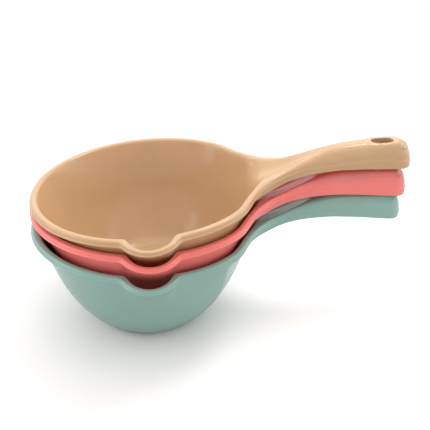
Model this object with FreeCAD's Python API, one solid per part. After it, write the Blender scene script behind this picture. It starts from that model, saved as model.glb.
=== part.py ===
import FreeCAD, Part
import math
import os

# Three identical moulded plastic dippers standing one inside the other.
# Millimetres. Origin: centre of the bottom dipper's base, on the table.
# +X runs along the handles, -Y is the spout side, +Z is up.

# Bowl: a rounded lower part that runs on into a straight flare
rim_radius = 92.0
dipper_height = 87.0
base_radius = 44.5
wall = 2.4
base_round = 3.0
flare_angle = math.radians(18.4)
flare_height = 39.0

# Rim bead
bead_width = 5.9
bead_height = 4.3

# Pouring spout
spout_reach = 12.3
spout_half_width = 20.4
spout_inner_half_width = 17.2
spout_bead_width = 4.0
spout_depth = 34.0
spout_outer_power_share = 0.95
spout_inner_power_share = 0.78
spout_shoulder_round = 1.9
spout_sector_share = 1.372

# Handle: the half width of its foot on the rim, then places measured outwards from the rim
foot_half_width = 31.16
root_half_width = 28.0
neck_reach = 20.0
neck_half_width = 14.6
waist_reach = 42.0
waist_half_width = 11.3
mid_reach = 60.0
grip_reach = 80.0
grip_half_width = 12.1
end_reach = 108.7
handle_end_radius = 12.8
foot_station_share = 0.4
skirt_end_slope_share = 0.1
steepest_skin_share = 3.0
shoulder_rises = {"root": 3.8, "waist": 10.2, "mid": 13.9, "grip": 15.2, "end": 14.6, "tip": 14.3}
skirt_drops = {"root": 3.2, "waist": 1.9, "mid": 0.5, "grip": 1.1, "end": 3.6, "tip": 4.3}
crown_height = 3.1
crown_band = 8.0

# Dish where the handle's top runs down into the bowl
dish_depth = 12.0
dish_half_width = 21.0
dish_offset_shares = [-2.1, -1.7, -1.2, -0.68, -0.32, 0.02, 0.37, 1.07, 1.76, 2.53, 4.39, 7.1]
dish_depth_shares = [0.0, 0.0, 1.5, 1.0, 0.71, 0.52, 0.4, 0.27, 0.19, 0.13, 0.06, 0.0]
dish_width_offset_shares = [0.5, 1.7, 3.0, 4.7]
dish_width_shares = [1.0, 0.9, 0.66, 0.48]

# Hang hole and the sleeve round it
hole_from_end = 24.3
hole_length = 18.0
hole_width = 10.5

# How a dipper stands in the one below it: moved towards the handle, tilted, and just clear of it
middle_shift = 2.7
middle_tilt = math.radians(1.05)
top_shift = 5.14
top_tilt = math.radians(3.2)
nest_clearance = 0.15

up = FreeCAD.Vector(0, 0, 1)
origin = FreeCAD.Vector(0, 0, 0)
spout_angle = -math.pi / 2
inner_rim_radius = rim_radius - bead_width
inner_reach = spout_reach + bead_width - spout_bead_width
spout_sector = spout_sector_share * math.atan2(spout_half_width, rim_radius)
handle_root_angle = math.asin(foot_half_width / rim_radius)
neck_start = rim_radius + neck_reach
waist_x = rim_radius + waist_reach
mid_x = rim_radius + mid_reach
grip_x = rim_radius + grip_reach
end_centre = rim_radius + end_reach
handle_end = end_centre + handle_end_radius
hole_centre = handle_end - hole_from_end
channel_start = rim_radius + wall
degree = 3
cut_low = dipper_height * 0.5
cut_high = dipper_height * 1.5


def smooth(share):
    share = min(max(share, 0.0), 1.0)
    return share * share * (3 - 2 * share)


def curve(xs, ys):
    # monotone cubic through the given points, flat beyond both ends
    n = len(xs)
    d = [(ys[i + 1] - ys[i]) / (xs[i + 1] - xs[i]) for i in range(n - 1)]
    m = [d[0]] + [0.0] * (n - 2) + [d[-1]]
    for i in range(1, n - 1):
        if d[i - 1] * d[i] > 0:
            w0 = 2 * xs[i + 1] - xs[i] - xs[i - 1]
            w1 = xs[i + 1] + xs[i] - 2 * xs[i - 1]
            m[i] = (w0 + w1) / (w0 / d[i - 1] + w1 / d[i])

    def value(x):
        if x <= xs[0]:
            return ys[0]
        if x >= xs[-1]:
            return ys[-1]
        i = max(k for k in range(n - 1) if xs[k] <= x)
        h = xs[i + 1] - xs[i]
        t = (x - xs[i]) / h
        a = (1 + 2 * t) * (1 - t) ** 2 * ys[i] + t * (1 - t) ** 2 * h * m[i]
        return a + t * t * (3 - 2 * t) * ys[i + 1] + t * t * (t - 1) * h * m[i + 1]
    return value


def clamped(knots):
    # knot counts of a curve that starts and stops at its end poles
    counts = [1] * len(knots)
    counts[0] = counts[-1] = degree + 1
    return counts


def clamped_curve(poles):
    # open cubic drawn by its poles, through the first and the last
    knots = list(range(len(poles) - degree + 1))
    c = Part.BSplineCurve()
    c.buildFromPolesMultsKnots(poles, clamped(knots), knots, False, degree)
    return c


def clamped_sheet(net):
    u = list(range(len(net) - degree + 1))
    v = list(range(len(net[0]) - degree + 1))
    s = Part.BSplineSurface()
    s.buildFromPolesMultsKnots(net, clamped(u), clamped(v), u, v, False, False, degree, degree)
    return s.toShape()


def face_of(curves):
    return Part.Face(Part.Wire(Part.__sortEdges__([c.toShape() for c in curves])))


def polar(radius, angle, z):
    return FreeCAD.Vector(radius * math.cos(angle), radius * math.sin(angle), z)


def mirrored(points):
    return [FreeCAD.Vector(p.x, -p.y, p.z) for p in points]


# Bowl wall. The outside profile is one arc from the base to the knee, then the flare.
flare_top_radius = inner_rim_radius + wall / math.cos(flare_angle)
knee_z = dipper_height - flare_height
knee_radius = flare_top_radius - flare_height * math.tan(flare_angle)
normal_x = math.cos(flare_angle)
normal_z = -math.sin(flare_angle)
chord_x = base_radius - knee_radius
arc_radius = -(chord_x ** 2 + knee_z ** 2) / (2 * (chord_x * normal_x - knee_z * normal_z))
arc_centre_x = knee_radius - arc_radius * normal_x
arc_centre_z = knee_z - arc_radius * normal_z


def wall_radius(z, inset):
    # radius of the surface that lies `inset` inside the outside of the wall
    if z > knee_z - inset * normal_z:
        return flare_top_radius - (dipper_height - z) * math.tan(flare_angle) - inset / normal_x
    return arc_centre_x + math.copysign(math.sqrt((arc_radius - inset) ** 2 - (z - arc_centre_z) ** 2), arc_radius)


def lobe(offset, half_width, power):
    # flat-topped spout lobe across its width, its shoulders softened by averaging
    total = 0.0
    steps = [-1.0, -0.5, 0.0, 0.5, 1.0]
    for s in steps:
        u = (offset + s * spout_shoulder_round) / half_width
        total += (1 - u * u) ** power if abs(u) < 1 else 0.0
    return total / len(steps)


def spout_row(radius, reach, half_width, power, z):
    # poles of one level line across the spout's sector, leaving the round wall tangentially
    columns = 17
    step = 2 * spout_sector / (columns - 1)
    row = []
    for i in range(columns):
        a = spout_angle - spout_sector + step * i
        swell = reach * lobe((a - spout_angle) * rim_radius, half_width, power)
        row.append(polar((radius + swell) * 3 / (2 + math.cos(step)), a, z))
    for a, side in ((spout_angle - spout_sector, 1), (spout_angle + spout_sector, -1)):
        corner = polar(radius, a, z)
        lean = FreeCAD.Vector(-math.sin(a), math.cos(a), 0) * (side * radius * step / 3)
        row[0 if side > 0 else -1] = corner
        row.insert(1 if side > 0 else len(row) - 1, corner + lean)
    return row


def bowl_solid(inset, bottom, top):
    # wall profile turned round the axis, with the spout's sector as one swelling sheet
    first = spout_angle + spout_sector
    knee = knee_z - inset * normal_z
    around = math.degrees(2 * math.pi - 2 * spout_sector)
    across = math.degrees(2 * spout_sector)
    low, middle, bend, high = [polar(wall_radius(z, inset), first, z) for z in (bottom, (bottom + knee) / 2, knee, top)]
    arc = Part.Arc(low, middle, bend).toShape()
    flare = Part.LineSegment(bend, high).toShape()
    faces = [arc.revolve(origin, up, around), flare.revolve(origin, up, around), arc.revolve(origin, up, -across)]
    rows = 9
    net = []
    for i in range(rows):
        z = knee + (top - knee) * i / (rows - 1)
        reach = inner_reach * smooth((min(z, dipper_height) - dipper_height + spout_depth) / spout_depth)
        half_width = spout_inner_half_width + wall - inset
        net.append(spout_row(wall_radius(z, inset), reach, half_width, spout_inner_power_share, z))
    faces.append(clamped_sheet(net))
    for level in (bottom, top):
        rim = [e for f in faces for e in f.Edges if abs(e.BoundBox.ZMin + e.BoundBox.ZMax - 2 * level) < wall / 20
               and e.BoundBox.ZLength < wall / 20]
        faces.append(Part.Face(Part.Wire(Part.__sortEdges__(rim))))
    shell = Part.makeShell(faces)
    shell.sewShape()
    return Part.makeSolid(shell)


root_x = rim_radius * math.cos(handle_root_angle)
half_width_at = curve([root_x, neck_start, waist_x, grip_x, end_centre],
                      [root_half_width, neck_half_width, waist_half_width, grip_half_width, handle_end_radius])


def side_points(start, inset):
    # far side of the handle seen from above, `inset` inside the outline
    stations = [start + (neck_start - start) * foot_station_share]
    stations += [neck_start, (neck_start + waist_x) / 2, waist_x, mid_x, grip_x, (grip_x + end_centre) / 2]
    points = [FreeCAD.Vector(x, half_width_at(x) - inset, 0) for x in stations]
    return points + [FreeCAD.Vector(end_centre, handle_end_radius - inset, 0)]


def side_spline(points, start_direction):
    c = Part.BSplineCurve()
    c.interpolate(points, InitialTangent=start_direction, FinalTangent=FreeCAD.Vector(1, 0, 0))
    return c


def outline_face():
    # seen from above: round rim, spout lobe, handle sides and round end
    foot = polar(rim_radius, handle_root_angle, 0)
    heading = FreeCAD.Vector(math.sin(handle_root_angle), -math.cos(handle_root_angle), 0)
    far_points = [foot] + side_points(foot.x, 0.0)
    far = side_spline(far_points, heading)
    near = side_spline(mirrored(far_points), mirrored([heading])[0])
    end = Part.Arc(far_points[-1], FreeCAD.Vector(handle_end, 0, 0), mirrored(far_points)[-1])
    lip = clamped_curve(spout_row(rim_radius, spout_reach, spout_half_width, spout_outer_power_share, 0.0))
    spout_start = polar(rim_radius, spout_angle - spout_sector, 0)
    spout_stop = polar(rim_radius, spout_angle + spout_sector, 0)
    back = Part.Arc(foot, polar(rim_radius, math.pi - handle_root_angle, 0), spout_start)
    front = Part.Arc(spout_stop, polar(rim_radius, spout_angle / 2, 0), mirrored([foot])[0])
    return face_of([back, lip, front, near, end, far])


def channel_face():
    # seen from above: the hollow under the handle, one wall inside the outline
    back_x = inner_rim_radius - 2 * bead_width
    first = FreeCAD.Vector(channel_start, half_width_at(channel_start) - wall, 0)
    far_points = [first] + side_points(channel_start, wall)
    slope = far_points[1] - far_points[0]
    far = side_spline(far_points, slope)
    near = side_spline(mirrored(far_points), mirrored([slope])[0])
    end = Part.Arc(far_points[-1], FreeCAD.Vector(handle_end - wall, 0, 0), mirrored(far_points)[-1])
    corners = [far_points[0], FreeCAD.Vector(back_x, far_points[0].y, 0)]
    corners += reversed(mirrored(corners))
    return face_of([Part.LineSegment(a, b) for a, b in zip(corners, corners[1:])] + [near, end, far])


shoulder_at = curve([rim_radius, neck_start, waist_x, mid_x, grip_x, end_centre, handle_end],
                    [0.0] + list(shoulder_rises.values()))
crown_at = curve([neck_start, mid_x], [0.0, crown_height])
dish_depth_at = curve([inner_rim_radius + s * bead_width for s in dish_offset_shares],
                      [dish_depth * s for s in dish_depth_shares])
dish_width_at = curve([inner_rim_radius + s * bead_width for s in dish_width_offset_shares],
                      [dish_half_width * s for s in dish_width_shares])


def top_z(x, y):
    # level rim, then the handle's shoulders and crown, less the dish into the bowl
    inside = half_width_at(x) - abs(y)
    if x > end_centre:
        inside = handle_end_radius - math.hypot(x - end_centre, y)
    lost = (1 - min(max(inside, 0.0) / crown_band, 1.0)) ** 2 + 2 * max(-inside, 0.0) / crown_band
    z = dipper_height + shoulder_at(x) + crown_at(x) * (1 - lost)
    across = min(abs(y) / dish_width_at(x), 1.0)
    return z - dish_depth_at(x) * (1 - across ** 2) ** 2


def under_z(x, y):
    # underside of the top skin, one wall below the top along its normal
    step = wall / 4
    slope_x = (top_z(x + step, y) - top_z(x - step, y)) / (2 * step)
    slope_y = (top_z(x, y + step) - top_z(x, y - step)) / (2 * step)
    return top_z(x, y) - wall * min(math.sqrt(1 + slope_x ** 2 + slope_y ** 2), steepest_skin_share)


level_end = inner_rim_radius + dish_offset_shares[0] * bead_width
grid_x = [inner_rim_radius + s * bead_width for s in dish_offset_shares[:10]]
grid_x += [(grid_x[-1] + neck_start) / 2, neck_start, (neck_start + waist_x) / 2, waist_x, mid_x, grip_x]
grid_x += [end_centre + handle_end_radius * s for s in (-1.1, -0.4, 0.0, 0.35, 0.7, 1.0, 1.5)]
grid_side = [handle_end_radius * s for s in (0.3, 0.6, 0.85, 1.1, 1.45, 1.8, 2.3, 3.2)]
grid_side.append(rim_radius + 2 * spout_reach)
grid_y = [-y for y in reversed(grid_side)] + [0.0] + grid_side


def below(height_at):
    # everything under the level rim plane and, past level_end, under a smooth height-field sheet
    sheet = clamped_sheet([[FreeCAD.Vector(x, y, height_at(x, y)) for y in grid_y] for x in grid_x])
    return sheet.extrude(up * -cut_high)


def level_block(top):
    reach = grid_y[-1]
    return Part.makeBox(reach + level_end, 2 * reach, top + dipper_height, FreeCAD.Vector(-reach, -reach, -dipper_height))


skirt_stations = [neck_start, waist_x, mid_x, grip_x, end_centre, handle_end]
skirt_drop_at = curve(skirt_stations, list(skirt_drops.values()))


def skirt_cutter():
    # everything below the bead and below the handle's side walls
    reach = grid_y[-1]
    flat_z = dipper_height - bead_height
    bottom_z = cut_low / 2
    start = FreeCAD.Vector(channel_start, -reach, flat_z)
    points = [start]
    points += [FreeCAD.Vector(x, -reach, dipper_height - d) for x, d in zip(skirt_stations, skirt_drops.values())]
    line = Part.BSplineCurve()
    last = FreeCAD.Vector(1, 0, -skirt_end_slope_share)
    line.interpolate(points, InitialTangent=FreeCAD.Vector(1, 0, 0), FinalTangent=last)
    far_x = handle_end + reach
    corners = [points[-1], FreeCAD.Vector(far_x, -reach, points[-1].z), FreeCAD.Vector(far_x, -reach, bottom_z),
               FreeCAD.Vector(-reach, -reach, bottom_z), FreeCAD.Vector(-reach, -reach, flat_z), start]
    sides = [Part.LineSegment(a, b) for a, b in zip(corners, corners[1:])]
    return face_of([line] + sides).extrude(FreeCAD.Vector(0, 2 * reach, 0))


def slot_solid(length, width):
    # upright oblong prism on the hang hole's axis
    x = hole_centre
    r = width / 2
    h = (length - width) / 2
    corners = [FreeCAD.Vector(x + sx * h, sy * r, cut_low) for sx, sy in ((-1, -1), (1, -1), (1, 1), (-1, 1))]
    a, b, c, d = corners
    right = Part.Arc(b, FreeCAD.Vector(x + h + r, 0, cut_low), c)
    left = Part.Arc(d, FreeCAD.Vector(x - h - r, 0, cut_low), a)
    return face_of([Part.LineSegment(a, b), right, Part.LineSegment(c, d), left]).extrude(up * (cut_high - cut_low))


def upright(face):
    prism = face.extrude(up * (cut_high - cut_low))
    prism.translate(up * cut_low)
    return prism


def rounded(body, z, radius):
    # round the edges that lie level at height z
    near = wall / 20
    picked = [e for e in body.Edges if abs(e.BoundBox.ZMin - z) < near and abs(e.BoundBox.ZMax - z) < near]
    return body.makeFillet(radius, picked)


wall_outside = bowl_solid(0.0, 0.0, dipper_height - bead_height / 2)
wall_inside = bowl_solid(wall, wall, dipper_height + 2 * dish_depth)


def dipper():
    sheet_under_top = below(top_z)
    below_top = level_block(dipper_height).fuse(sheet_under_top)
    below_skin = below(under_z)
    outer = rounded(wall_outside, 0.0, base_round).common(below_top)
    cavity = rounded(wall_inside, wall, base_round)
    channel = upright(channel_face())
    hollow = channel.common(below_skin).cut(slot_solid(hole_length + 2 * wall, hole_width + 2 * wall)).cut(outer)
    root = Part.makeBox(neck_start - level_end, 2 * rim_radius, 2 * dish_depth,
                        FreeCAD.Vector(level_end, -rim_radius, dipper_height - 2 * dish_depth))
    skin = channel.common(root).common(sheet_under_top).cut(below_skin)
    flange = upright(outline_face()).common(below_top).cut(skirt_cutter()).cut(hollow).fuse(skin)
    body = flange.fuse(outer).removeSplitter().cut(cavity).cut(slot_solid(hole_length, hole_width))
    return body.Solids[0]


def handle_gap(shift, lift, tilt):
    # height of the foot of the hang hole's sleeve above the handle of the dipper below
    foot_x = hole_centre + hole_length / 2 + wall
    foot_z = dipper_height - skirt_drop_at(foot_x)
    x = foot_x * math.cos(tilt) - foot_z * math.sin(tilt) + shift
    return foot_x * math.sin(tilt) + foot_z * math.cos(tilt) + lift - top_z(x, 0.0)


def wall_gap(shift, lift, tilt):
    # smallest gap between the two bowl walls on the handle's side and opposite it
    gaps = []
    samples = 60
    for i in range(samples):
        z = wall + (dipper_height - wall) * i / (samples - 1)
        for side in (1, -1):
            x = side * wall_radius(z, wall) - shift
            own_z = (z - lift) * math.cos(tilt) - x * math.sin(tilt)
            own_x = (x * math.cos(tilt) + (z - lift) * math.sin(tilt)) * side
            if own_z > 0:
                gaps.append((own_x - wall_radius(own_z, 0.0)) * math.cos(flare_angle))
    return min(gaps)


def nested(shape, shift, lift, tilt):
    # tilt about the base centre so that the handle rises, then move into the dipper below
    copy = shape.copy()
    copy.rotate(origin, FreeCAD.Vector(0, 1, 0), -math.degrees(tilt))
    copy.translate(FreeCAD.Vector(shift, 0, lift))
    return copy


def nest_lift(shift, tilt):
    # lowest place at which bowl, spout and handle all clear the dipper below
    rim_edge = wall_inside.slice(up, dipper_height)[0]
    low = wall / math.sin(flare_angle)
    high = dipper_height
    while high - low > nest_clearance / 20:
        lift = (low + high) / 2
        rim_gap = nested(wall_outside, shift, lift, tilt).distToShape(rim_edge)[0]
        if min(rim_gap, wall_gap(shift, lift, tilt), handle_gap(shift, lift, tilt)) < nest_clearance:
            low = lift
        else:
            high = lift
    return high


os.makedirs("parts", exist_ok=True)
one = dipper()
middle_place = (middle_shift, nest_lift(middle_shift, middle_tilt), middle_tilt)
top_place = (top_shift, nest_lift(top_shift, top_tilt), top_tilt)
stack = {
    "dipper_bottom": one,
    "dipper_middle": nested(one, *middle_place),
    "dipper_top": nested(nested(one, *top_place), *middle_place),
}
for name, shape in stack.items():
    shape.exportStep("parts/" + name + ".step")
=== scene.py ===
import math

import bmesh
import bpy
import numpy as np
from mathutils import Matrix, Vector


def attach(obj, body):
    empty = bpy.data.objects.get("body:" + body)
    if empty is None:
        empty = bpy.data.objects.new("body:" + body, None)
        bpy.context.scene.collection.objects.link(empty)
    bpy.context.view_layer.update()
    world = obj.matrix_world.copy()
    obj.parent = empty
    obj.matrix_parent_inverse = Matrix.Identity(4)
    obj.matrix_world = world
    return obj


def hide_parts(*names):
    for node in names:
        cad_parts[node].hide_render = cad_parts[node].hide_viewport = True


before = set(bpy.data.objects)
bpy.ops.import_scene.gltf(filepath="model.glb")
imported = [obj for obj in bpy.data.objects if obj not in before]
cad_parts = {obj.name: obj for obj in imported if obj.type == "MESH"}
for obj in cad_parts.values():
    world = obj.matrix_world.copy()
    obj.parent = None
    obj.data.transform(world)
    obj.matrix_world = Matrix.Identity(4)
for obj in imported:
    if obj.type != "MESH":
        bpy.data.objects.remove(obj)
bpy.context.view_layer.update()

# The bowl of the water dipper: thin injection-moulded polypropylene, a flat base, one arc up to
# the knee and a straight flare above it. Bowl, rim, spout and handle leave the mould as one piece.
# All sizes of the dipper are in mm from the middle of its base: +X the handle, -Y the spout.
MM = 0.001
rim_radius = 92.0
height = 87.0
base_radius = 44.5
wall = 2.4
base_round = 3.0
floor_round = 5.0
flare = math.radians(18.4)
flare_height = 39.0
bead_width = 5.9
inner_rim = rim_radius - bead_width
flare_top = inner_rim + wall / math.cos(flare)
knee_z = height - flare_height
knee_r = flare_top - flare_height * math.tan(flare)

# the arc leaves the knee in line with the flare and reaches the edge of the base
out_x, out_z = math.cos(flare), -math.sin(flare)
chord = base_radius - knee_r
arc_r = -(chord ** 2 + knee_z ** 2) / (2 * (chord * out_x - knee_z * out_z))
arc_x, arc_z = knee_r - arc_r * out_x, knee_z - arc_r * out_z


def wall_radius(z, inset):
    # radius of the wall at height z, `inset` inside its outer face
    z = np.asarray(z, float)
    straight = flare_top - (height - z) * math.tan(flare) - inset / out_x
    arc = arc_x + np.sqrt(np.maximum((arc_r - inset) ** 2 - (z - arc_z) ** 2, 0.0))
    return np.where(z > knee_z - inset * out_z, straight, arc)


# The spout: a pouring lip that the mould presses out of the near side, through bead and wall.
# The lip dips a little in its middle, and the swelling under it fades out down the wall.
spout_angle = -math.pi / 2
spout_reach = 12.2
spout_half = 20.4
spout_bead = 4.0
spout_bead_height = 3.1
spout_dip = 1.3
spout_depth = 34.0
spout_blur = 2.2
trough_half = 17.2
trough_reach = spout_reach + bead_width - spout_bead
trough_fullness = 0.78
lip_fullness = 0.95


def turned(theta, middle):
    # angle from `middle` to theta, at most half a turn either way
    return np.mod(theta - middle + math.pi, 2 * math.pi) - math.pi


def off_spout(theta):
    # distance round the rim from the middle of the spout
    return rim_radius * turned(theta, spout_angle)


def lobe(offset, half, power):
    # 1 in the middle of the spout and 0 past `half`, with its ends blurred
    shares = [np.clip(1 - ((offset + shift) / half) ** 2, 0.0, 1.0) ** power
              for shift in np.linspace(-spout_blur, spout_blur, 9)]
    return sum(shares) / len(shares)


# The handle: it grows out of the rim between two feet, narrows to a neck, rises and ends round.
# Its top is crowned along the grip, and dished where it runs down into the bowl. The rim draws in
# a little beside each foot before it turns out into the handle.
root_angle = math.radians(30)
pinch_depth = 2.4
pinch_reach = math.radians(17)
handle_end = 213.5
end_radius = 12.8
end_centre = handle_end - end_radius
neck_x = 112.0
neck_half = 14.6
crown_band = 8.0
steepest = 2.0


def smooth(share):
    # from 0 to 1 with a soft start and a soft end
    share = np.clip(share, 0.0, 1.0)
    return share * share * (3 - 2 * share)


def pinch(theta):
    # how far the rim draws in beside a foot
    off_foot = np.abs(np.abs(turned(theta, 0.0)) - root_angle)
    return pinch_depth * smooth(1 - off_foot / pinch_reach)


def swell(theta, z, inset):
    # how far the wall leaves its round shape: out at the spout, in beside the handle's feet
    fade = smooth((np.minimum(z, height) - height + spout_depth) / spout_depth)
    out = trough_reach * lobe(off_spout(theta), trough_half + 0.5 * (wall - inset), trough_fullness)
    return fade * out - smooth(z / height) * pinch(theta)


def soft_line(xs, ys, soften):
    # straight runs between the points, their corners softened over about `soften` millimetres
    step = 0.25
    pad = 4 * soften
    grid = np.arange(xs[0] - pad, xs[-1] + pad, step)
    taps = np.exp(-0.5 * (np.arange(-3 * soften, 3 * soften + step, step) / soften) ** 2)
    padded = np.pad(np.interp(grid, xs, ys), len(taps) // 2, "edge")
    soft = np.convolve(padded, taps / taps.sum(), "valid")
    return lambda x: np.interp(x, grid, soft[:len(grid)])


half_width = soft_line([95, neck_x, 122, 134, 152, 172, end_centre, handle_end],
                       [20, neck_half, 12.3, 11.3, 11.5, 12.1, end_radius, end_radius], 4.0)
shoulder = soft_line([66, 74, 82, 94, 104, neck_x, 122, 134, 152, 172, end_centre, handle_end],
                     [0.0, 0.6, 1.7, 2.4, 3.3, 5.1, 8.0, 11.0, 14.1, 15.4, 14.8, 14.3], 3.0)
crown = soft_line([neck_x, 150.0], [0.0, 2.9], 6.0)
dish = soft_line([80.2, 82.1, 84.2, 86.2, 88.3, 92.4, 96.5, 101.0, 112.0, 124.0, 140.0],
                 [17.1, 13.7, 10.5, 8.5, 7.0, 5.7, 4.6, 3.6, 2.0, 1.0, 0.0], 1.0)
dish_half = soft_line([80, 84, 90, 97, 104, 114, 128], [27.0, 24.0, 18.6, 15.2, 13.4, 10.5, 9.0], 2.0)
dish_edge = soft_line([92, 110], [1.15, 2.0], 3.0)


def top_height(x, y):
    # height of the dipper's top face, over the rim, the spout's lip and the handle
    inside = half_width(x) - np.abs(y)
    inside = np.where(x > end_centre, end_radius - np.hypot(x - end_centre, y), inside)
    lost = (1 - np.clip(inside / crown_band, 0.0, 1.0)) ** 2
    z = height + shoulder(x) + crown(x) * (1 - lost)
    across = np.clip(np.abs(y) / dish_half(x), 0.0, 1.0)
    z = z - np.where(x > 0, dish(x) * (1 - across ** 2) ** dish_edge(x), 0.0)
    return z - np.where(y < -0.5 * rim_radius, spout_dip * lobe(x, spout_half, 1.0), 0.0)


def under_height(x, y):
    # the same face one wall lower, as seen from inside the handle's channel
    d = wall / 4
    gx = (top_height(x + d, y) - top_height(x - d, y)) / (2 * d)
    gy = (top_height(x, y + d) - top_height(x, y - d)) / (2 * d)
    return top_height(x, y) - wall * np.minimum(np.sqrt(1 + gx ** 2 + gy ** 2), steepest)


# The rim bead: the wall's top edge, turned over outwards into a round roll that stiffens it. It
# gets thinner at the spout's lip, and by the handle's feet a gusset thickens it from underneath.
# Its strip of faces runs from one foot round the far side and the spout to the other foot.
bead_height = 4.3
bead_round = 2.5
lip_round = 1.8
foot_round = 0.6
inner_round = 2.2
inner_lip_round = 1.3
root_round = 9.0
root_round_from = math.radians(24)
root_round_run = math.radians(22)
gusset_depth = 4.0
gusset_cut = 3.0
gusset_end = math.radians(54)
ridge_height = 4.3
recess_step = 0.6
draft = 0.7
slim_from = spout_half + 6
slim_run = 8

# columns of the strip, from above: the spout has one for every 0.8 degrees
spout_from = 1.5 * math.pi - math.radians(20)
spout_to = 1.5 * math.pi + math.radians(20)
ring = np.concatenate([
    np.linspace(root_angle, spout_from, 112)[:-1],
    np.arange(spout_from, spout_to, math.radians(0.8)),
    np.linspace(spout_to, 2 * math.pi - root_angle, 26)])


def polar(r, theta):
    return np.stack([r * np.cos(theta), r * np.sin(theta)], -1)


def with_z(points, z):
    return np.column_stack([points, np.broadcast_to(z, len(points))])


def solve(above, low, high, columns):
    # radius between low and high where `above` falls to 0, halved closer for all columns at once
    low, high = np.full(columns, low), np.full(columns, high)
    for halving in range(40):
        middle = (low + high) / 2
        still = above(middle) > 0
        low, high = np.where(still, middle, low), np.where(still, high, middle)
    return (low + high) / 2


def slim(theta):
    # 1 at the spout's lip, where the bead is thinner, 0 on the rest of the rim
    return smooth((slim_from - np.abs(off_spout(theta))) / slim_run)


def edge_round(theta):
    # the inner edge is small on the bead and wide where the handle's top runs into the bowl
    bead = inner_round + (inner_lip_round - inner_round) * slim(theta)
    by_handle = smooth((root_round_from - np.abs(turned(theta, 0.0))) / root_round_run)
    return bead + (root_round - bead) * by_handle


def inner_edge(theta):
    # where the bowl's inside wall meets the top face, down in the dish and at the lip as well
    def above(r):
        return top_height(*polar(r, theta).T) - (height - (inner_rim - r) / math.tan(flare))
    # the dish lies within about 49 degrees of the handle's middle
    in_dish = solve(above, inner_rim - 0.85 * bead_width, inner_rim + 1.2, len(theta))
    r = np.where(np.cos(theta) > 0.65, in_dish, inner_rim)
    z = height - (inner_rim - r) / math.tan(flare)
    r = r + swell(theta, height, wall)
    return r, np.where(np.abs(off_spout(theta)) < 2 * spout_half, top_height(*polar(r, theta).T), z)


def gusset(theta):
    # 1 at the handle's feet, fading away round the rim under the bead
    return smooth((gusset_end - np.abs(turned(theta, 0.0))) / (gusset_end - root_angle))


def bead_floor(theta):
    # height of the bead's underside, thinner and dipped at the spout's lip
    thin = lobe(off_spout(theta), spout_half, 1.0)
    z = height - bead_height + (bead_height - spout_bead_height - spout_dip) * thin
    return z + shoulder(rim_radius * np.cos(theta)) - gusset_depth * gusset(theta)


def outer_edge(theta, hollow, floor_z):
    # where the underside of the bead, or of the handle's root, meets the outside of the bowl
    def above(r):
        under = floor_z + hollow * (under_height(*polar(r, theta).T) - floor_z)
        return under - (height - (flare_top - r) / math.tan(flare))
    r = solve(above, flare_top - 6.5, flare_top, len(theta))
    z = np.where(hollow > 0, height - (flare_top - r) / math.tan(flare), floor_z)
    return wall_radius(z, 0.0) + swell(theta, z, 0.0), z


def inward(points, first, last):
    # inward normals of a line of outline points walked with the dipper on the left
    along = np.vstack([points[1:], points[-1:]]) - np.vstack([points[:1], points[:-1]])
    along[0], along[-1] = first, last
    along = along / np.linalg.norm(along, axis=1)[:, None]
    return np.stack([-along[:, 1], along[:, 0]], -1)


def flange(outline, normal, start, stop, stop_z, low, hollow, round_over, cut):
    # rows of points for every column of the outline: from `start` over the top, round the
    # shoulder, down the side into its recess, round the foot and back underneath to `stop`
    def at(inset):
        return outline + normal * np.broadcast_to(inset, len(outline))[:, None]

    # top face, then the rounded shoulder
    turn = np.minimum(round_over, 0.85 * np.linalg.norm(start - outline, axis=1))
    drop = np.where(round_over > bead_round, round_over, turn)
    edge_z = top_height(*outline.T)
    rows = []
    for share in np.linspace(0, 1, 15)[:-1]:
        points = start + (at(turn) - start) * share
        rows.append(with_z(points, top_height(*points.T)))
    for a in np.linspace(0, math.pi / 2, 11):
        points = at(draft + (turn - draft) * (1 - math.sin(a)))
        z = top_height(*points.T) * math.cos(a) + edge_z * (1 - math.cos(a))
        rows.append(with_z(points, z - drop * (1 - math.cos(a))))

    # side: a ridge with a little draft, the step into the recess under it, and the rounded foot
    side_z = edge_z - drop
    tall = side_z - low - foot_round
    ridge = np.clip(ridge_height - drop, 0.15 * tall, 0.6 * tall)
    ridge_z = side_z - ridge
    step = np.minimum((tall - ridge) * 0.2, recess_step)
    flat = tall - ridge - step
    across = np.linalg.norm(stop - outline, axis=1)
    cut = np.minimum(cut, 0.6 * across)
    side = [(draft * 0.5, side_z - ridge * 0.5), (0.0, ridge_z), (cut * 0.6, ridge_z - step * 0.35)]
    side += [(cut, ridge_z - step - flat * share) for share in (0.0, 0.4, 0.75)]
    side += [(cut + foot_round * (1 - math.cos(a)), low + foot_round * (1 - math.sin(a)))
             for a in np.linspace(0, math.pi / 2, 4)]
    rows += [with_z(at(inset), z) for inset, z in side]

    # underside: the lip of the channel, its inner wall and its roof
    lip = at(np.minimum(cut + wall, 0.8 * across))
    deep = at(np.minimum(cut + wall + 0.5, 0.88 * across))
    roof = hollow * (under_height(*lip.T) - low)
    rows.append(with_z((lip + at(cut + foot_round)) * 0.5, low))
    rows.append(with_z(lip, low))
    rows.append(with_z(lip * 0.7 + deep * 0.3, low + roof * 0.45))
    rows.append(with_z(deep, low + roof * 0.9))
    for share in (0.12, 0.3, 0.5, 0.7, 0.88):
        points = deep + (stop - deep) * share
        rows.append(with_z(points, low + hollow * (under_height(*points.T) - low)))
    rows.append(with_z(stop, stop_z))
    return np.array(rows)


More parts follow.
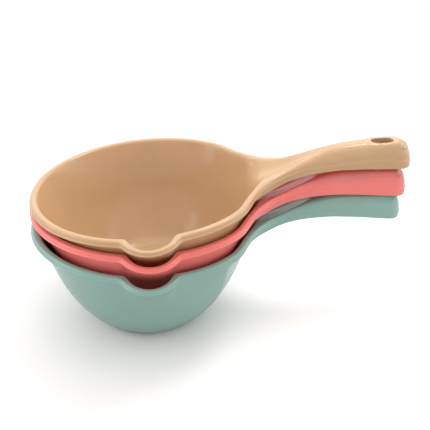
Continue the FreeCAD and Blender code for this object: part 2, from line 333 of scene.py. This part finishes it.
# the bead is solid underneath: only the handle has a channel
solid = np.zeros_like(ring)
bead_low = bead_floor(ring)
lip_out = spout_reach * lobe(off_spout(ring), spout_half, lip_fullness)
bead_outline = polar(rim_radius + lip_out - pinch(ring), ring)
bead_normal = inward(bead_outline, *[np.array([-math.sin(t), math.cos(t)]) for t in (ring[0], ring[-1])])
bead_foot_r, bead_foot_z = outer_edge(ring, solid, bead_low)
rim_strip = flange(bead_outline, bead_normal, polar(inner_edge(ring)[0] + edge_round(ring), ring),
                   polar(bead_foot_r, ring), bead_foot_z, bead_low, solid,
                   bead_round + (lip_round - bead_round) * slim(ring), gusset_cut * gusset(ring))

# The hang hole: a long hole through the handle's end that a core pin in the mould leaves, with a
# thin sleeve round it that hangs down as far as the handle's skirt. Its near half is made here,
# and the far half is its mirror image.
hole_centre = handle_end - 24.3
hole_length = 18.0
hole_width = 10.5
hole_round = 0.9
hole_bulge = 2 / 2.5
hole_turn = np.concatenate([np.linspace(math.pi, 1.5 * math.pi, 9),
                            np.linspace(1.5 * math.pi, 2 * math.pi, 22)[1:]])
skirt = soft_line([90, 96, 100, 104, 108, neck_x, 122, 134, 152, 172, end_centre, handle_end],
                  [9.6, 9.2, 8.4, 7.2, 6.0, 4.6, 2.9, 1.4, 0.4, 1.1, 3.3, 4.3], 2.5)


def half_oblong(grow):
    # near half of the hole's outline, made larger by `grow`, from its left to its right end
    along = np.sign(np.cos(hole_turn)) * np.abs(np.cos(hole_turn)) ** hole_bulge * (hole_length / 2 + grow)
    across = -np.abs(np.sin(hole_turn)) ** hole_bulge * (hole_width / 2 + grow)
    across[[0, -1]] = 0.0
    return np.stack([hole_centre + along, across], -1)


def bend(a, corner, b, steps):
    # rounded corner: a curve that leaves a and reaches b along the two faces that meet there
    t = np.linspace(0, 1, steps + 1)[:, None, None]
    return (1 - t) ** 2 * a + 2 * t * (1 - t) * corner + t ** 2 * b


hole = half_oblong(0.0)
hole_mouth = half_oblong(hole_round)
sleeve = half_oblong(wall)
mouth_z = top_height(*hole.T)
sleeve_low = height - skirt(hole[:, 0])
sleeve_top = under_height(*sleeve.T)
hole_rows = list(bend(with_z(hole_mouth, top_height(*hole_mouth.T)), with_z(hole, mouth_z),
                      with_z(hole, mouth_z - hole_round), 4))
hole_rows += [with_z(hole, mouth_z - hole_round + (sleeve_low - mouth_z + hole_round) * share)
              for share in (0.3, 0.6, 0.9, 1.0)]
hole_rows += [with_z(half_oblong(wall * share), sleeve_low) for share in (0.5, 1.0)]
hole_rows += [with_z(sleeve, sleeve_low + (sleeve_top - sleeve_low) * share) for share in (0.3, 0.7, 1.0)]
hole_strip = np.array(hole_rows)

# The handle's sides: turned down into a skirt, so that the handle is an open channel below, with
# a recess under the ridge of its shoulder. The near half runs from its foot on the rim to the
# middle of the round end, and the far half is its mirror image.
grip_round = 9.0
end_round = 11.5
foot_pull = 8.0
neck_pull = 17.0
root_columns = 22
recess = soft_line([76, 90, 97, 102, 108, 116, 124, 138], [4.6, 4.4, 3.8, 3.0, 2.0, 1.1, 0.6, 0.0], 2.0)


def foot_curve():
    # handle side from its foot on the rim to the neck, tangent to both
    foot = polar(rim_radius - pinch_depth, -root_angle)
    neck = np.array([neck_x, -float(half_width(neck_x))])
    slope = float(half_width(neck_x + 1) - half_width(neck_x - 1)) / 2
    leave = foot + foot_pull * np.array([math.sin(root_angle), math.cos(root_angle)])
    reach = neck - neck_pull * np.array([1.0, -slope])
    t = np.linspace(0, 1, root_columns + 1)[:, None]
    return (1 - t) ** 3 * foot + 3 * t * (1 - t) ** 2 * leave + 3 * t ** 2 * (1 - t) * reach + t ** 3 * neck


def handle_side():
    # points along the side, closer together beside the hang hole, and round the end: from 174 mm
    # on there is one for each of the 30 points of the hole's near half
    runs = ((neck_x, 174.0, 34), (174.0, 184.5, 8), (184.5, 193.5, 5), (193.5, end_centre, 4))
    x = np.concatenate([np.linspace(a, b, count + 1)[1:] for a, b, count in runs])
    end = np.linspace(-math.pi / 2, 0, 13)[1:]
    return np.concatenate([np.stack([x, -half_width(x)], -1), polar(end_radius, end) + [end_centre, 0.0]])


def middle_seam(at_root, at_hole, columns):
    # inner edge of the handle's strip: along the bowl, then the middle line, then the hole
    between = np.linspace(at_root[-1], at_hole[0], columns - len(at_root) - len(at_hole) + 2)
    return np.concatenate([at_root, between[1:-1], at_hole])


handle_outline = np.concatenate([foot_curve(), handle_side()])
handle_x = handle_outline[:, 0]
column = np.arange(len(handle_outline))
handle_normal = inward(handle_outline, np.array([math.sin(root_angle), math.cos(root_angle)]),
                       np.array([0.0, 1.0]))

# from the foot on, over the first columns, the side goes down to the skirt's edge, the channel
# opens and the gusset's recess becomes the skirt's
hollow = smooth((column - 4) / 8.0)
ramp = smooth((column - 1) / 9.0)
handle_low = bead_floor(np.array([root_angle])) * (1 - ramp) + (height - skirt(handle_x)) * ramp
handle_cut = gusset_cut + smooth(column / 6.0) * (recess(handle_x) - gusset_cut)
root = np.linspace(-root_angle, 0.0, root_columns + 1)
root_hollow = hollow[:root_columns + 1]
root_low = handle_low[:root_columns + 1]
root_foot_r, root_foot_z = outer_edge(root, root_hollow, root_low)
handle_start = middle_seam(polar(inner_edge(root)[0] + edge_round(root), root), hole_mouth, len(column))
handle_stop = middle_seam(polar(root_foot_r, root), sleeve, len(column))
handle_stop_z = under_height(*handle_stop.T)
handle_stop_z[:root_columns + 1] = root_foot_z
handle_round = np.interp(handle_x, [87, 104, 128, 150, 195, 208],
                         [bead_round, 2.8, 5.2, grip_round, grip_round, end_round])
handle_strip = flange(handle_outline, handle_normal, handle_start, handle_stop, handle_stop_z,
                      handle_low, hollow, handle_round, handle_cut)

# The bowl's two faces, over the whole turn. Inside, the wall bends up into the top of the bead
# and of the handle, and down into the floor. Outside, it runs from under the bead to the base.
full_turn = np.concatenate([ring, root[1:], -root[-2:0:-1]])
wall_rows = np.linspace(0, 1, 30)[1:]
disc_shares = (0.8, 0.55, 0.3, 0.1, 0.0)
slope_span = 0.2


def around(on_ring, on_root):
    # values for the whole turn from those of the ring and of the near half of the root
    return np.concatenate([on_ring, on_root[1:], on_root[-2:0:-1]])


def circle(r, z):
    return with_z(polar(r, full_turn), z)


def top_at(r):
    return top_height(*polar(r, full_turn).T)


def wall_at(z, inset):
    return wall_radius(z, inset) + swell(full_turn, z, inset)


def wall_and_disc(first, first_z, corner_z, inset, corner_r, corner_round):
    # rows from the wall's first row down to the corner, round it and in to the middle of the disc
    rows = [first]
    for share in wall_rows:
        z = first_z + (corner_z - first_z) * share
        rows.append(circle(wall_at(z, inset), z))
    disc_r = corner_r - corner_round
    rows += list(bend(rows[-1], circle(corner_r, inset), circle(disc_r, inset), 5))[1:]
    return rows + [circle(disc_r * share, inset) for share in disc_shares]


# inside: the edge leaves the top face and reaches the wall with the slope of each
edge_r, edge_z = inner_edge(full_turn)
top_r = edge_r + edge_round(full_turn)
top_z = top_at(top_r)
top_slope = (top_at(top_r + slope_span) - top_at(top_r - slope_span)) / (2 * slope_span)
wall_z = edge_z - edge_round(full_turn)
wall_r = wall_at(wall_z, wall)
wall_slope = (wall_at(wall_z + slope_span, wall) - wall_r) / slope_span
meet_r = (wall_r + wall_slope * (top_z - wall_z - top_slope * top_r)) / (1 - wall_slope * top_slope)
edge_rows = list(bend(circle(top_r, top_z), circle(meet_r, top_z + top_slope * (meet_r - top_r)),
                      circle(wall_r, wall_z), 8))
floor_rows = wall_and_disc(edge_rows[-1], wall_z, wall + floor_round, wall,
                           float(wall_radius(wall, wall)), floor_round)
bowl_inside = np.array(edge_rows[:-1] + floor_rows)

# outside
foot_r, foot_z = outer_edge(full_turn, around(solid, root_hollow), around(bead_low, root_low))
bowl_outside = np.array(wall_and_disc(circle(foot_r, foot_z), foot_z, base_round, 0.0, base_radius, base_round))

# The mould: all strips of one dipper, welded along the edges that they share into one closed
# shell. The three dippers of the stack are all made from it.
weld_distance = 0.004 * MM


def mirrored(rows):
    return rows * np.array([1, -1, 1])


mould = bpy.data.meshes.new("dipper_mould")
shell = bmesh.new()
for strip, closed in ((rim_strip, False), (handle_strip, False), (mirrored(handle_strip), False),
                      (hole_strip, False), (mirrored(hole_strip), False),
                      (bowl_inside, True), (bowl_outside, True)):
    corners = [[shell.verts.new(Vector(point) * MM) for point in row] for row in strip]
    count = len(corners[0])
    for row, next_row in zip(corners, corners[1:]):
        for i in range(count if closed else count - 1):
            j = (i + 1) % count
            shell.faces.new((row[i], row[j], next_row[j], next_row[i]))
bmesh.ops.remove_doubles(shell, verts=shell.verts, dist=weld_distance)
bmesh.ops.recalc_face_normals(shell, faces=shell.faces)
shell.to_mesh(mould)
shell.free()
for face in mould.polygons:
    face.use_smooth = True


# The plastic: polypropylene dyed through and moulded in a polished mould. To the eye that is one
# even colour a shade deeper where the plastic flowed last, a soft gloss, and a little light that
# sinks in at thin edges. The mould's grain is drawn coarser than the real one, and very shallow.
flow_size = 45.0
grain_size = 1.1
grain_depth = 0.03
mould_gloss = 0.15
sink_depth = 4.0


def linear(code):
    shares = [int(code[i:i + 2], 16) / 255 for i in (1, 3, 5)]
    return [s / 12.92 if s <= 0.04045 else ((s + 0.055) / 1.055) ** 2.4 for s in shares] + [1.0]


def add(tree, kind, settings=(), links=()):
    # one node with its settings and links: settings name a socket or a property
    node = tree.nodes.new(kind)
    for key, value in dict(settings).items():
        if key in node.inputs.keys():
            node.inputs[key].default_value = value
        else:
            setattr(node, key, value)
    for socket, source in dict(links).items():
        tree.links.new(source, node.inputs[socket])
    return node


def polypropylene(name, base, deep):
    material = bpy.data.materials.new(name)
    material.use_nodes = True
    tree = material.node_tree
    tree.nodes.clear()
    where = add(tree, "ShaderNodeTexCoord")
    flow = add(tree, "ShaderNodeTexNoise", {"Scale": 1 / (flow_size * MM), "Detail": 3.0, "Roughness": 0.5},
               {"Vector": where.outputs["Object"]})
    tint = add(tree, "ShaderNodeValToRGB", (), {"Fac": flow.outputs["Fac"]})
    for element, position, colour in zip(tint.color_ramp.elements, (0.3, 0.7), (deep, base)):
        element.position = position
        element.color = linear(colour)
    grain = add(tree, "ShaderNodeTexNoise", {"Scale": 1 / (grain_size * MM), "Detail": 2.0},
                {"Vector": where.outputs["Object"]})
    bump = add(tree, "ShaderNodeBump", {"Strength": 0.05, "Distance": grain_depth * MM},
               {"Height": grain.outputs["Fac"]})
    shader = add(tree, "ShaderNodeBsdfPrincipled",
                 {"Roughness": mould_gloss, "IOR": 1.49, "Subsurface Weight": 0.4,
                  "Subsurface Radius": (1.0, 0.5, 0.4), "Subsurface Scale": sink_depth * MM},
                 {"Base Color": tint.outputs["Color"], "Normal": bump.outputs["Normal"]})
    add(tree, "ShaderNodeOutputMaterial", (), {"Surface": shader.outputs["BSDF"]})
    return material


# The stack: three dippers from one mould, teal, coral and tan. Each stands in the one below,
# nearer to the handle and tilted up a little; nothing but its weight holds it. A Geometry Nodes
# step puts a dipper in the next one down, and it goes through the steps of those below as well.
def nest_step_tree():
    tree = bpy.data.node_groups.new("nest_step", "GeometryNodeTree")
    for label, kind in (("Dipper", "Geometry"), ("Shift", "Float"), ("Lift", "Float"),
                        ("Lean", "Float"), ("Plastic", "Material")):
        tree.interface.new_socket(label, in_out="INPUT", socket_type="NodeSocket" + kind)
    tree.interface.new_socket("Dipper", in_out="OUTPUT", socket_type="NodeSocketGeometry")
    given = add(tree, "NodeGroupInput")
    move = add(tree, "ShaderNodeCombineXYZ", (), {"X": given.outputs["Shift"], "Z": given.outputs["Lift"]})
    turn = add(tree, "ShaderNodeCombineXYZ", (), {"Y": given.outputs["Lean"]})
    stood = add(tree, "GeometryNodeTransform", (), {
        "Geometry": given.outputs["Dipper"], "Translation": move.outputs["Vector"],
        "Rotation": turn.outputs["Vector"]})
    whole = add(tree, "GeometryNodeRealizeInstances", (), {"Geometry": stood.outputs["Geometry"]})
    dyed = add(tree, "GeometryNodeSetMaterial", (), {
        "Geometry": whole.outputs["Geometry"], "Material": given.outputs["Plastic"]})
    add(tree, "NodeGroupOutput", (), {"Dipper": dyed.outputs["Geometry"]})
    return tree


nest_step = nest_step_tree()
step_inputs = {item.name: item.identifier for item in nest_step.interface.items_tree if item.in_out == "INPUT"}
nesting = {
    "bottom": {"Shift": 0.0, "Lift": 0.0, "Lean": 0.0,
               "Plastic": polypropylene("teal_polypropylene", "#8bb0a5", "#87aba0")},
    "middle": {"Shift": 2.7 * MM, "Lift": 17.7606 * MM, "Lean": -math.radians(1.05),
               "Plastic": polypropylene("coral_polypropylene", "#f27f79", "#ed7a74")},
    "top": {"Shift": 5.14 * MM, "Lift": 13.0648 * MM, "Lean": -math.radians(3.2),
            "Plastic": polypropylene("tan_polypropylene", "#c5a179", "#c19c75")},
}
steps_down = []
for level, own_step in nesting.items():
    steps_down.insert(0, own_step)
    dipper = bpy.data.objects.new("moulded_dipper_" + level, mould)
    bpy.context.scene.collection.objects.link(dipper)
    for step in steps_down:
        modifier = dipper.modifiers.new("nest_step", "NODES")
        modifier.node_group = nest_step
        for label in ("Shift", "Lift", "Lean"):
            modifier[step_inputs[label]] = step[label]
        modifier[step_inputs["Plastic"]] = own_step["Plastic"]
    nested = bpy.data.meshes.new_from_object(dipper.evaluated_get(bpy.context.evaluated_depsgraph_get()))
    dipper.modifiers.clear()
    nested.name = dipper.name
    dipper.data = nested
    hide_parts("dipper_" + level)
    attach(dipper, level)
bpy.data.meshes.remove(mould)

# Floor: a plain white sheet that keeps the soft shadow under the base and runs out into white.
# It bounces a little less light than the camera sees in it. Distances here are in metres.
floor_width = 3.0
fade_from, fade_to = 0.22, 0.55
bpy.ops.mesh.primitive_plane_add(size=floor_width, location=(0, 0, 0))
floor = bpy.context.object
floor.name = "studio_floor"
floor_paint = bpy.data.materials.new("white_floor")
floor_paint.use_nodes = True
floor_tree = floor_paint.node_tree
floor_tree.nodes.clear()
on_floor = add(floor_tree, "ShaderNodeTexCoord")
away = add(floor_tree, "ShaderNodeVectorMath", {"operation": "LENGTH"}, {0: on_floor.outputs["Object"]})
fade = add(floor_tree, "ShaderNodeMapRange", {"interpolation_type": "SMOOTHSTEP", "From Min": fade_from,
                                              "From Max": fade_to}, {"Value": away.outputs["Value"]})
floor_ray = add(floor_tree, "ShaderNodeLightPath")
sheet = add(floor_tree, "ShaderNodeMix", {"data_type": "RGBA"}, {"Factor": floor_ray.outputs["Is Camera Ray"]})
sheet.inputs["A"].default_value = linear("#d9d6d6")
sheet.inputs["B"].default_value = linear("#fbf6f5")
paper = add(floor_tree, "ShaderNodeBsdfDiffuse", (), {"Color": sheet.outputs["Result"]})
white = add(floor_tree, "ShaderNodeEmission", {"Color": linear("#ffffff"), "Strength": 1.0})
run_out = add(floor_tree, "ShaderNodeMixShader", (), {
    0: fade.outputs["Result"], 1: paper.outputs["BSDF"], 2: white.outputs["Emission"]})
add(floor_tree, "ShaderNodeOutputMaterial", (), {"Surface": run_out.outputs["Shader"]})
floor.data.materials.append(floor_paint)

# Light: an even white room, whose backdrop is plain white to the camera, and five soft boxes,
# one above, one behind, one at each side and a small one that gives the bead its highlight.
world = bpy.data.worlds.new("white_room")
bpy.context.scene.world = world
world.use_nodes = True
room_tree = world.node_tree
room_tree.nodes.clear()
room_ray = add(room_tree, "ShaderNodeLightPath")
fill = add(room_tree, "ShaderNodeBackground", {"Color": linear("#ffffff"), "Strength": 0.92})
backdrop = add(room_tree, "ShaderNodeBackground", {"Color": linear("#ffffff"), "Strength": 1.0})
seen = add(room_tree, "ShaderNodeMixShader", (), {
    0: room_ray.outputs["Is Camera Ray"], 1: fill.outputs["Background"], 2: backdrop.outputs["Background"]})
add(room_tree, "ShaderNodeOutputWorld", (), {"Surface": seen.outputs["Shader"]})


def soft_box(name, place, target, size, power):
    lamp = bpy.data.lights.new(name, "AREA")
    lamp.shape = "RECTANGLE"
    lamp.size, lamp.size_y = size
    lamp.energy = power
    lamp_object = bpy.data.objects.new(name, lamp)
    lamp_object.location = place
    lamp_object.rotation_euler = (Vector(target) - Vector(place)).to_track_quat("-Z", "Y").to_euler()
    bpy.context.scene.collection.objects.link(lamp_object)


soft_box("ceiling_box", (0.1, 0.1, 1.1), (0.05, 0.0, 0.1), (1.2, 1.2), 3.5)
soft_box("back_box", (0.1, 0.95, 0.75), (0.05, 0.0, 0.1), (1.4, 0.7), 2.5)
soft_box("key_box", (0.36, 0.2, 0.9), (0.05, 0.0, 0.1), (0.3, 0.3), 2.3)
soft_box("left_box", (-0.95, 0.0, 0.5), (0.0, 0.0, 0.08), (0.7, 0.7), 2.5)
soft_box("right_box", (1.05, 0.15, 0.5), (0.1, 0.0, 0.08), (0.7, 0.7), 1.5)

# Camera: at the photograph's viewing angle, fitted to the rim ellipses and the handle's edges.
# It looks down on the stack from close by, turned a little to the left and rolled a little.
camera_height = math.radians(28.994)
camera_turn = math.radians(-7.755)
camera_roll = math.radians(-2.149)
camera_distance = 487.2
pixels_per_mm = 1.207
frame_pixels = 430
sensor = 36.0
look_at = Vector((55.48, 0.0, 85.07))
back = Vector((math.sin(camera_turn) * math.cos(camera_height),
               -math.cos(camera_turn) * math.cos(camera_height), math.sin(camera_height)))
right = Vector((math.cos(camera_turn), math.sin(camera_turn), 0))
up = back.cross(right)
rolled_right = right * math.cos(camera_roll) - up * math.sin(camera_roll)
rolled_up = right * math.sin(camera_roll) + up * math.cos(camera_roll)
lens = bpy.data.cameras.new("camera")
lens.sensor_width = sensor
lens.lens = sensor * pixels_per_mm * camera_distance / frame_pixels
lens.clip_start = 0.01
camera = bpy.data.objects.new("camera", lens)
camera.matrix_world = Matrix.Translation((look_at + back * camera_distance) * MM) @ Matrix(
    (rolled_right, rolled_up, back)).transposed().to_4x4()
bpy.context.scene.collection.objects.link(camera)
bpy.context.scene.camera = camera
bpy.context.scene.view_settings.view_transform = "Standard"
